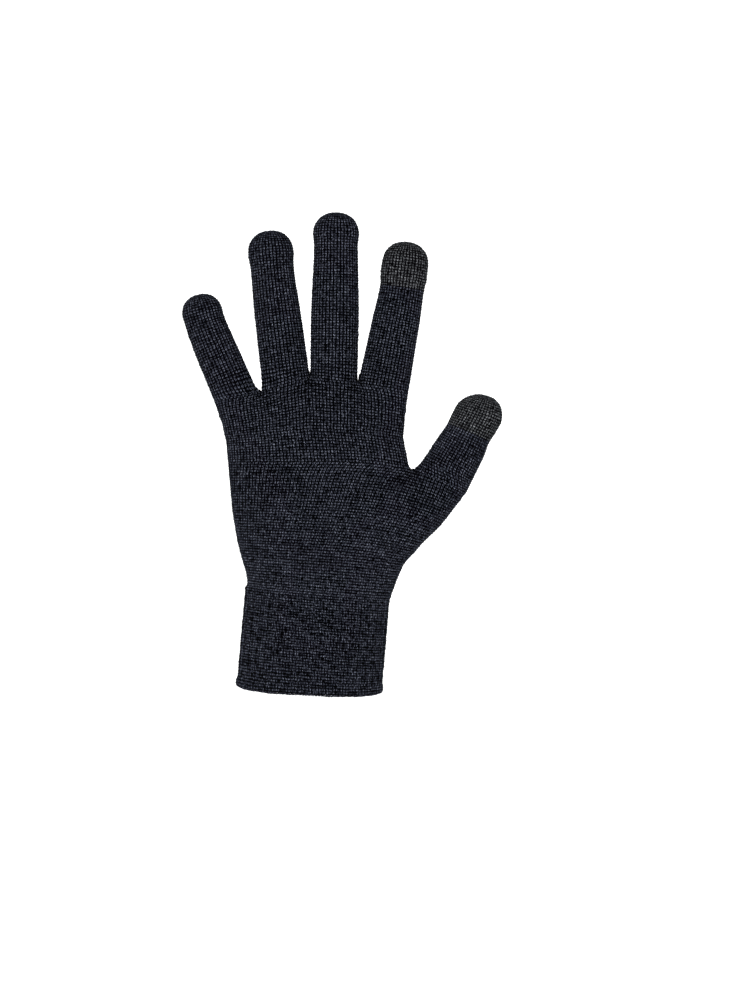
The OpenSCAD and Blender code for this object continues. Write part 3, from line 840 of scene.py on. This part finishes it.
# the heel takes over the cuff's ring in this many rows
WRIST_ROWS = 5
KNUCKLE_ROWS = 28
HEEL_NODES = (["palm_heel", "wrist_link"], ["thumb_gusset"], [])
UPPER_NODES = (["palm_knit"], ["little_root", "ring_root", "middle_root", "index_root"])


def build_heel():
    rings = [body_ring(heel_curve(v), 260, lambda p: hand_field(p, only=()),
                       shift=float(soft(v / 0.45)))
             for v in np.linspace(0, 1, HEEL_ROWS + 1)]
    top = cuff_ring(CUFF_LEN, 260)
    for k in range(WRIST_ROWS):
        moved = top + (rings[k].mean(0) - top.mean(0))
        rings[k] = mix(moved if k else top, rings[k], float(soft(k / WRIST_ROWS)))
    heel = Fabric(smooth_rows(np.array(rings), 3))
    for k, span in enumerate(chunks(HEEL_ROWS, 3)):
        piece = knit(f"palm_heel_{k + 1}", heel, span, 148, pair=0.3 + 0.1 * k)
        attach(keep(piece, HEEL_NODES[k]), "hand")


def build_upper_palm():
    """The first courses end at the thumb's crotch, the others at the edge of the palm."""
    rings = [body_ring(knuckle_curve(v), 240,
                       lambda p: hand_field(p, thumb=bool(p[..., 2].min() < 125)),
                       right_limit=51.1 if v < 0.12 else 60.0,
                       shift=float(1 - soft(v / 0.35)))
             for v in np.linspace(0, 1, KNUCKLE_ROWS + 1)]
    rings[0] = lined_up(rings[0], 2 * rings[1] - rings[2])
    upper = Fabric(smooth_rows(np.array(rings), 2))
    for k, span in enumerate(chunks(KNUCKLE_ROWS, 2)):
        piece = knit(f"palm_upper_{k + 1}", upper, span, 122, pair=0.62)
        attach(keep(piece, UPPER_NODES[k]), "hand")


build_heel()
build_upper_palm()

# ---- fingers
WALES = {"little": 36, "ring": 39, "middle": 40, "index": 42, "thumb": 46}
# distances where each finger's knitting is divided, near its joints
SPLITS = {"little": (12, 26, 38.7), "ring": (17.5, 38, 57), "middle": (19, 42, 63),
          "index": (17.5, 35.5, 52)}
# start and end of the stretch at the root, middle and end joint
ZONES = {"little": ((0.5, 11), (13, 25), (27, 38)), "ring": ((2.5, 15.5), (19, 36), (41, 56.5)),
         "middle": ((2.5, 15.5), (21, 39), (46, 62)), "index": ((2.5, 15.5), (19, 34), (37, 51))}
FINGER_NODES = {name: ([f"{name}_base"], [f"{name}_middle"], [f"{name}_end"], [f"{name}_tip"])
                for name in FINGERS}
FINGER_NODES["index"] = (["index_base"], ["index_middle"], ["index_end", "index_touch_link"],
                         ["index_touch_cap"])


def point_on(f, s, joint):
    """Place on a finger's line at a distance s, as deep as the joint."""
    x, z, _ = finger_line(f, np.array([s]))
    y = joints[joint]["pos_m"][1] / MM
    return (float(x[0]) * MM, y * MM, float(z[0]) * MM)


def build_finger(name, f):
    grid, level = finger_grid(name, 132)
    fabric = Fabric(grid)
    cuts = [0] + [rows_near(level, s) for s in SPLITS[name]] + [len(level) - 1]
    touch = rows_near(level, f[11] - 1.2) if name == "index" else None
    bodies = ["hand", f"{name}_base_part", f"{name}_middle_part", f"{name}_end_part"]
    for k, label in enumerate(("base", "middle", "end", "tip")):
        piece = knit(f"{name}_{label}_knit", fabric, (cuts[k], cuts[k + 1]), WALES[name],
                     touch_from=touch, pair=0.66)
        keep(piece, FINGER_NODES[name][k])
        if k == 3:
            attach(piece, bodies[3])
        else:
            joint = f"{name}_{('root', 'middle', 'end')[k]}_joint"
            start, end = ZONES[name][k]
            point_on(f, start, joint)
            point_on(f, end, joint)
            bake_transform(piece)


for finger, values in FINGERS.items():
    build_finger(finger, values)

# ---- thumb
THUMB_SPLITS = (14.0, 26.5)


def build_thumb():
    grid, level = thumb_grid(140)
    fabric = Fabric(grid)
    first, touch = [rows_near(level, s) for s in THUMB_SPLITS]
    pieces = (("thumb_base_knit", (0, first), None, "body_knit", ["thumb_base"]),
              ("thumb_end_knit", (first, touch), None, "body_knit",
               ["thumb_end", "thumb_touch_link"]),
              ("thumb_tip_knit", (touch, len(level) - 1), touch, "touch_knit",
               ["thumb_touch_cap"]))
    base, end, tip = [keep(knit(name, fabric, rows, WALES["thumb"], touch_from=grey, pair=0.6),
                           nodes)
                      for name, rows, grey, slot, nodes in pieces]
    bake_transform(base)
    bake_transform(end)
    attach(tip, "thumb_end_part")


build_thumb()

# ---- gathered stitches over the crotches
# x, y and z of each crotch, and its lean
GATHERS = {"little": (-22.8, 0, 142.9, -12), "ring": (0.4, 0, 148.7, -2),
           "middle": (23.2, 0, 146.8, 5), "thumb": (50.4, -4.5, 104.6, 12)}


def saddle(top, lean, offset, field, wide=62, deep=13.0):
    """Line over the crotch from its front to its back, on the surface of the knitting."""
    a = math.radians(lean)
    up = np.array((math.sin(a), 0, math.cos(a)))
    across = np.array((math.cos(a), 0, -math.sin(a)))
    turn = np.radians(np.linspace(-wide, wide, 26))
    start = np.tile(np.array(top) - deep * up + offset * across, (len(turn), 1))
    way = np.cos(turn)[:, None] * up + np.sin(turn)[:, None] * np.array((0, 1.0, 0))
    far = np.full(len(turn), deep * 1.35)
    return start + (reach(start, way, far, field) - 0.05)[:, None] * way


def build_gather(name, top, lean):
    lines = []
    for offset in (-1.5, -0.75, 0.0, 0.75, 1.5):
        line = saddle(top, lean, offset, lambda p: hand_field(p, thumb=name == "thumb"))
        line[:, 0] += 0.5 * np.sin(np.linspace(0, 5 * math.pi, len(line)) + offset * 3)
        lines.append(line)
    piece = keep(cord(f"crotch_threads_{name}", lines, 0.34),
                 [f"crotch_stitch_{name}"], first=thread_mat)
    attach(piece, "hand")


for crotch, (x, y, z, lean) in GATHERS.items():
    build_gather(crotch, (x, y, z), lean)


# ---- closing yarns
def tip_coil(top, lean, radius=2.3, drop=0.45, turns=3.2):
    """Yarn drawn in round the end of a finger: a flat coil on the dome."""
    up = np.array((math.sin(lean), 0, math.cos(lean)))
    side = np.array((math.cos(lean), 0, -math.sin(lean)))
    back = np.array((0, 0.9, 0))
    t = np.linspace(0, 1, 70)
    angle = t * 2 * math.pi * turns
    r = radius * (1 - t) ** 0.9
    low = drop * (r / radius) ** 2
    return (np.array(top) - up * (low[:, None] + 0.15)
            + r[:, None] * (np.cos(angle)[:, None] * side + np.sin(angle)[:, None] * back))


def build_closing(name, top, lean, yarn):
    piece = keep(cord(f"{name}_closing_yarn", [tip_coil(top, lean)], 0.36),
                 [f"{name}_closing"], first=yarn)
    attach(piece, f"{name}_end_part")


for finger, values in FINGERS.items():
    x, z, lean = [float(v[0]) for v in finger_line(values, np.array([values[12]]))]
    build_closing(finger, (x, 0, z), lean, grey_yarn if finger == "index" else black_yarn)
build_closing("thumb", THUMB_TIP, math.radians(16), grey_yarn)


# ---- elastic yarn inside the cuff
def build_elastic():
    spiral = []
    for turn in range(ELASTIC_TURNS):
        start = ELASTIC_START + ELASTIC_PITCH * turn
        low = cuff_ring(start, 300, -ELASTIC_DEPTH)
        high = cuff_ring(start + ELASTIC_PITCH, 300, -ELASTIC_DEPTH)
        spiral.append(mix(low, high, (np.arange(300) / 300)[:, None]))
    piece = keep(cord("elastic_spiral", [np.vstack(spiral)], 0.4),
                 ["cuff_elastic"], first=elastic_mat)
    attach(piece, "hand")


build_elastic()

# ---------------------------------------------------------------- stage, light, camera
lo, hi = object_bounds()
# the floor lies well below the cuff, so the glove throws no shadow into view
floor_z = lo[2] - 0.09
STAGE_SIDES = 96


def stage_sheet():
    """Pale round floor whose rim curves up into a wall on every side."""
    flat, bend, wall = 3.4, 1.2, 4.0
    profile = [(0.02, 0.0), (1.2, 0.0), (flat, 0.0)]
    profile += [(flat + bend * math.sin(a), bend - bend * math.cos(a))
                for a in np.linspace(0.1, math.pi / 2, 14)]
    profile += [(flat + bend, wall)]
    points = []
    for r, z in profile:
        points += [(r * math.cos(a), r * math.sin(a), floor_z + z)
                   for a in np.linspace(0, 2 * math.pi, STAGE_SIDES, endpoint=False)]
    quads = []
    for row in range(len(profile) - 1):
        for k in range(STAGE_SIDES):
            low, high = row * STAGE_SIDES, (row + 1) * STAGE_SIDES
            m = (k + 1) % STAGE_SIDES
            quads.append((low + k, high + k, high + m, low + m))
    quads.append(tuple(range(STAGE_SIDES)))
    mesh = bpy.data.meshes.new("stage")
    mesh.from_pydata(points, [], quads)
    mesh.polygons.foreach_set("use_smooth", [True] * len(quads))
    obj = bpy.data.objects.new("stage", mesh)
    bpy.context.scene.collection.objects.link(obj)
    mat = plain_material("stage_white", (0.9, 0.9, 0.9), 0.95)
    shader = mat.node_tree.nodes["Principled BSDF"]
    shader.inputs["Emission Color"].default_value = (1, 1, 1, 1)
    shader.inputs["Emission Strength"].default_value = 0.49
    mesh.materials.append(mat)


stage_sheet()

world = bpy.data.worlds.new("studio")
world.use_nodes = True
world.node_tree.nodes["Background"].inputs["Color"].default_value = (0.97, 0.98, 1.0, 1)
world.node_tree.nodes["Background"].inputs["Strength"].default_value = 0.55
bpy.context.scene.world = world


def soft_light(name, place, size, watts):
    """A square lamp that looks at the middle of the glove."""
    data = bpy.data.lights.new(name, "AREA")
    data.shape = "RECTANGLE"
    data.size = size
    data.size_y = size
    data.energy = watts
    obj = bpy.data.objects.new(name, data)
    obj.location = place
    way = Vector((0.03, 0, 0.1)) - Vector(place)
    obj.rotation_euler = way.to_track_quat("-Z", "Y").to_euler()
    bpy.context.scene.collection.objects.link(obj)


soft_light("key", (-0.3, -1.8, 0.55), 0.4, 32)
soft_light("front", (0.1, -1.8, 0.3), 0.5, 7)

camera_data = bpy.data.cameras.new("camera")
camera_data.lens = 85
camera = bpy.data.objects.new("camera", camera_data)
camera.location = (0.0314, -1.1333, 0.0909)
camera.rotation_euler = (math.pi / 2, 0, 0)
bpy.context.scene.collection.objects.link(camera)
bpy.context.scene.camera = camera
bpy.context.scene.view_settings.view_transform = "Standard"
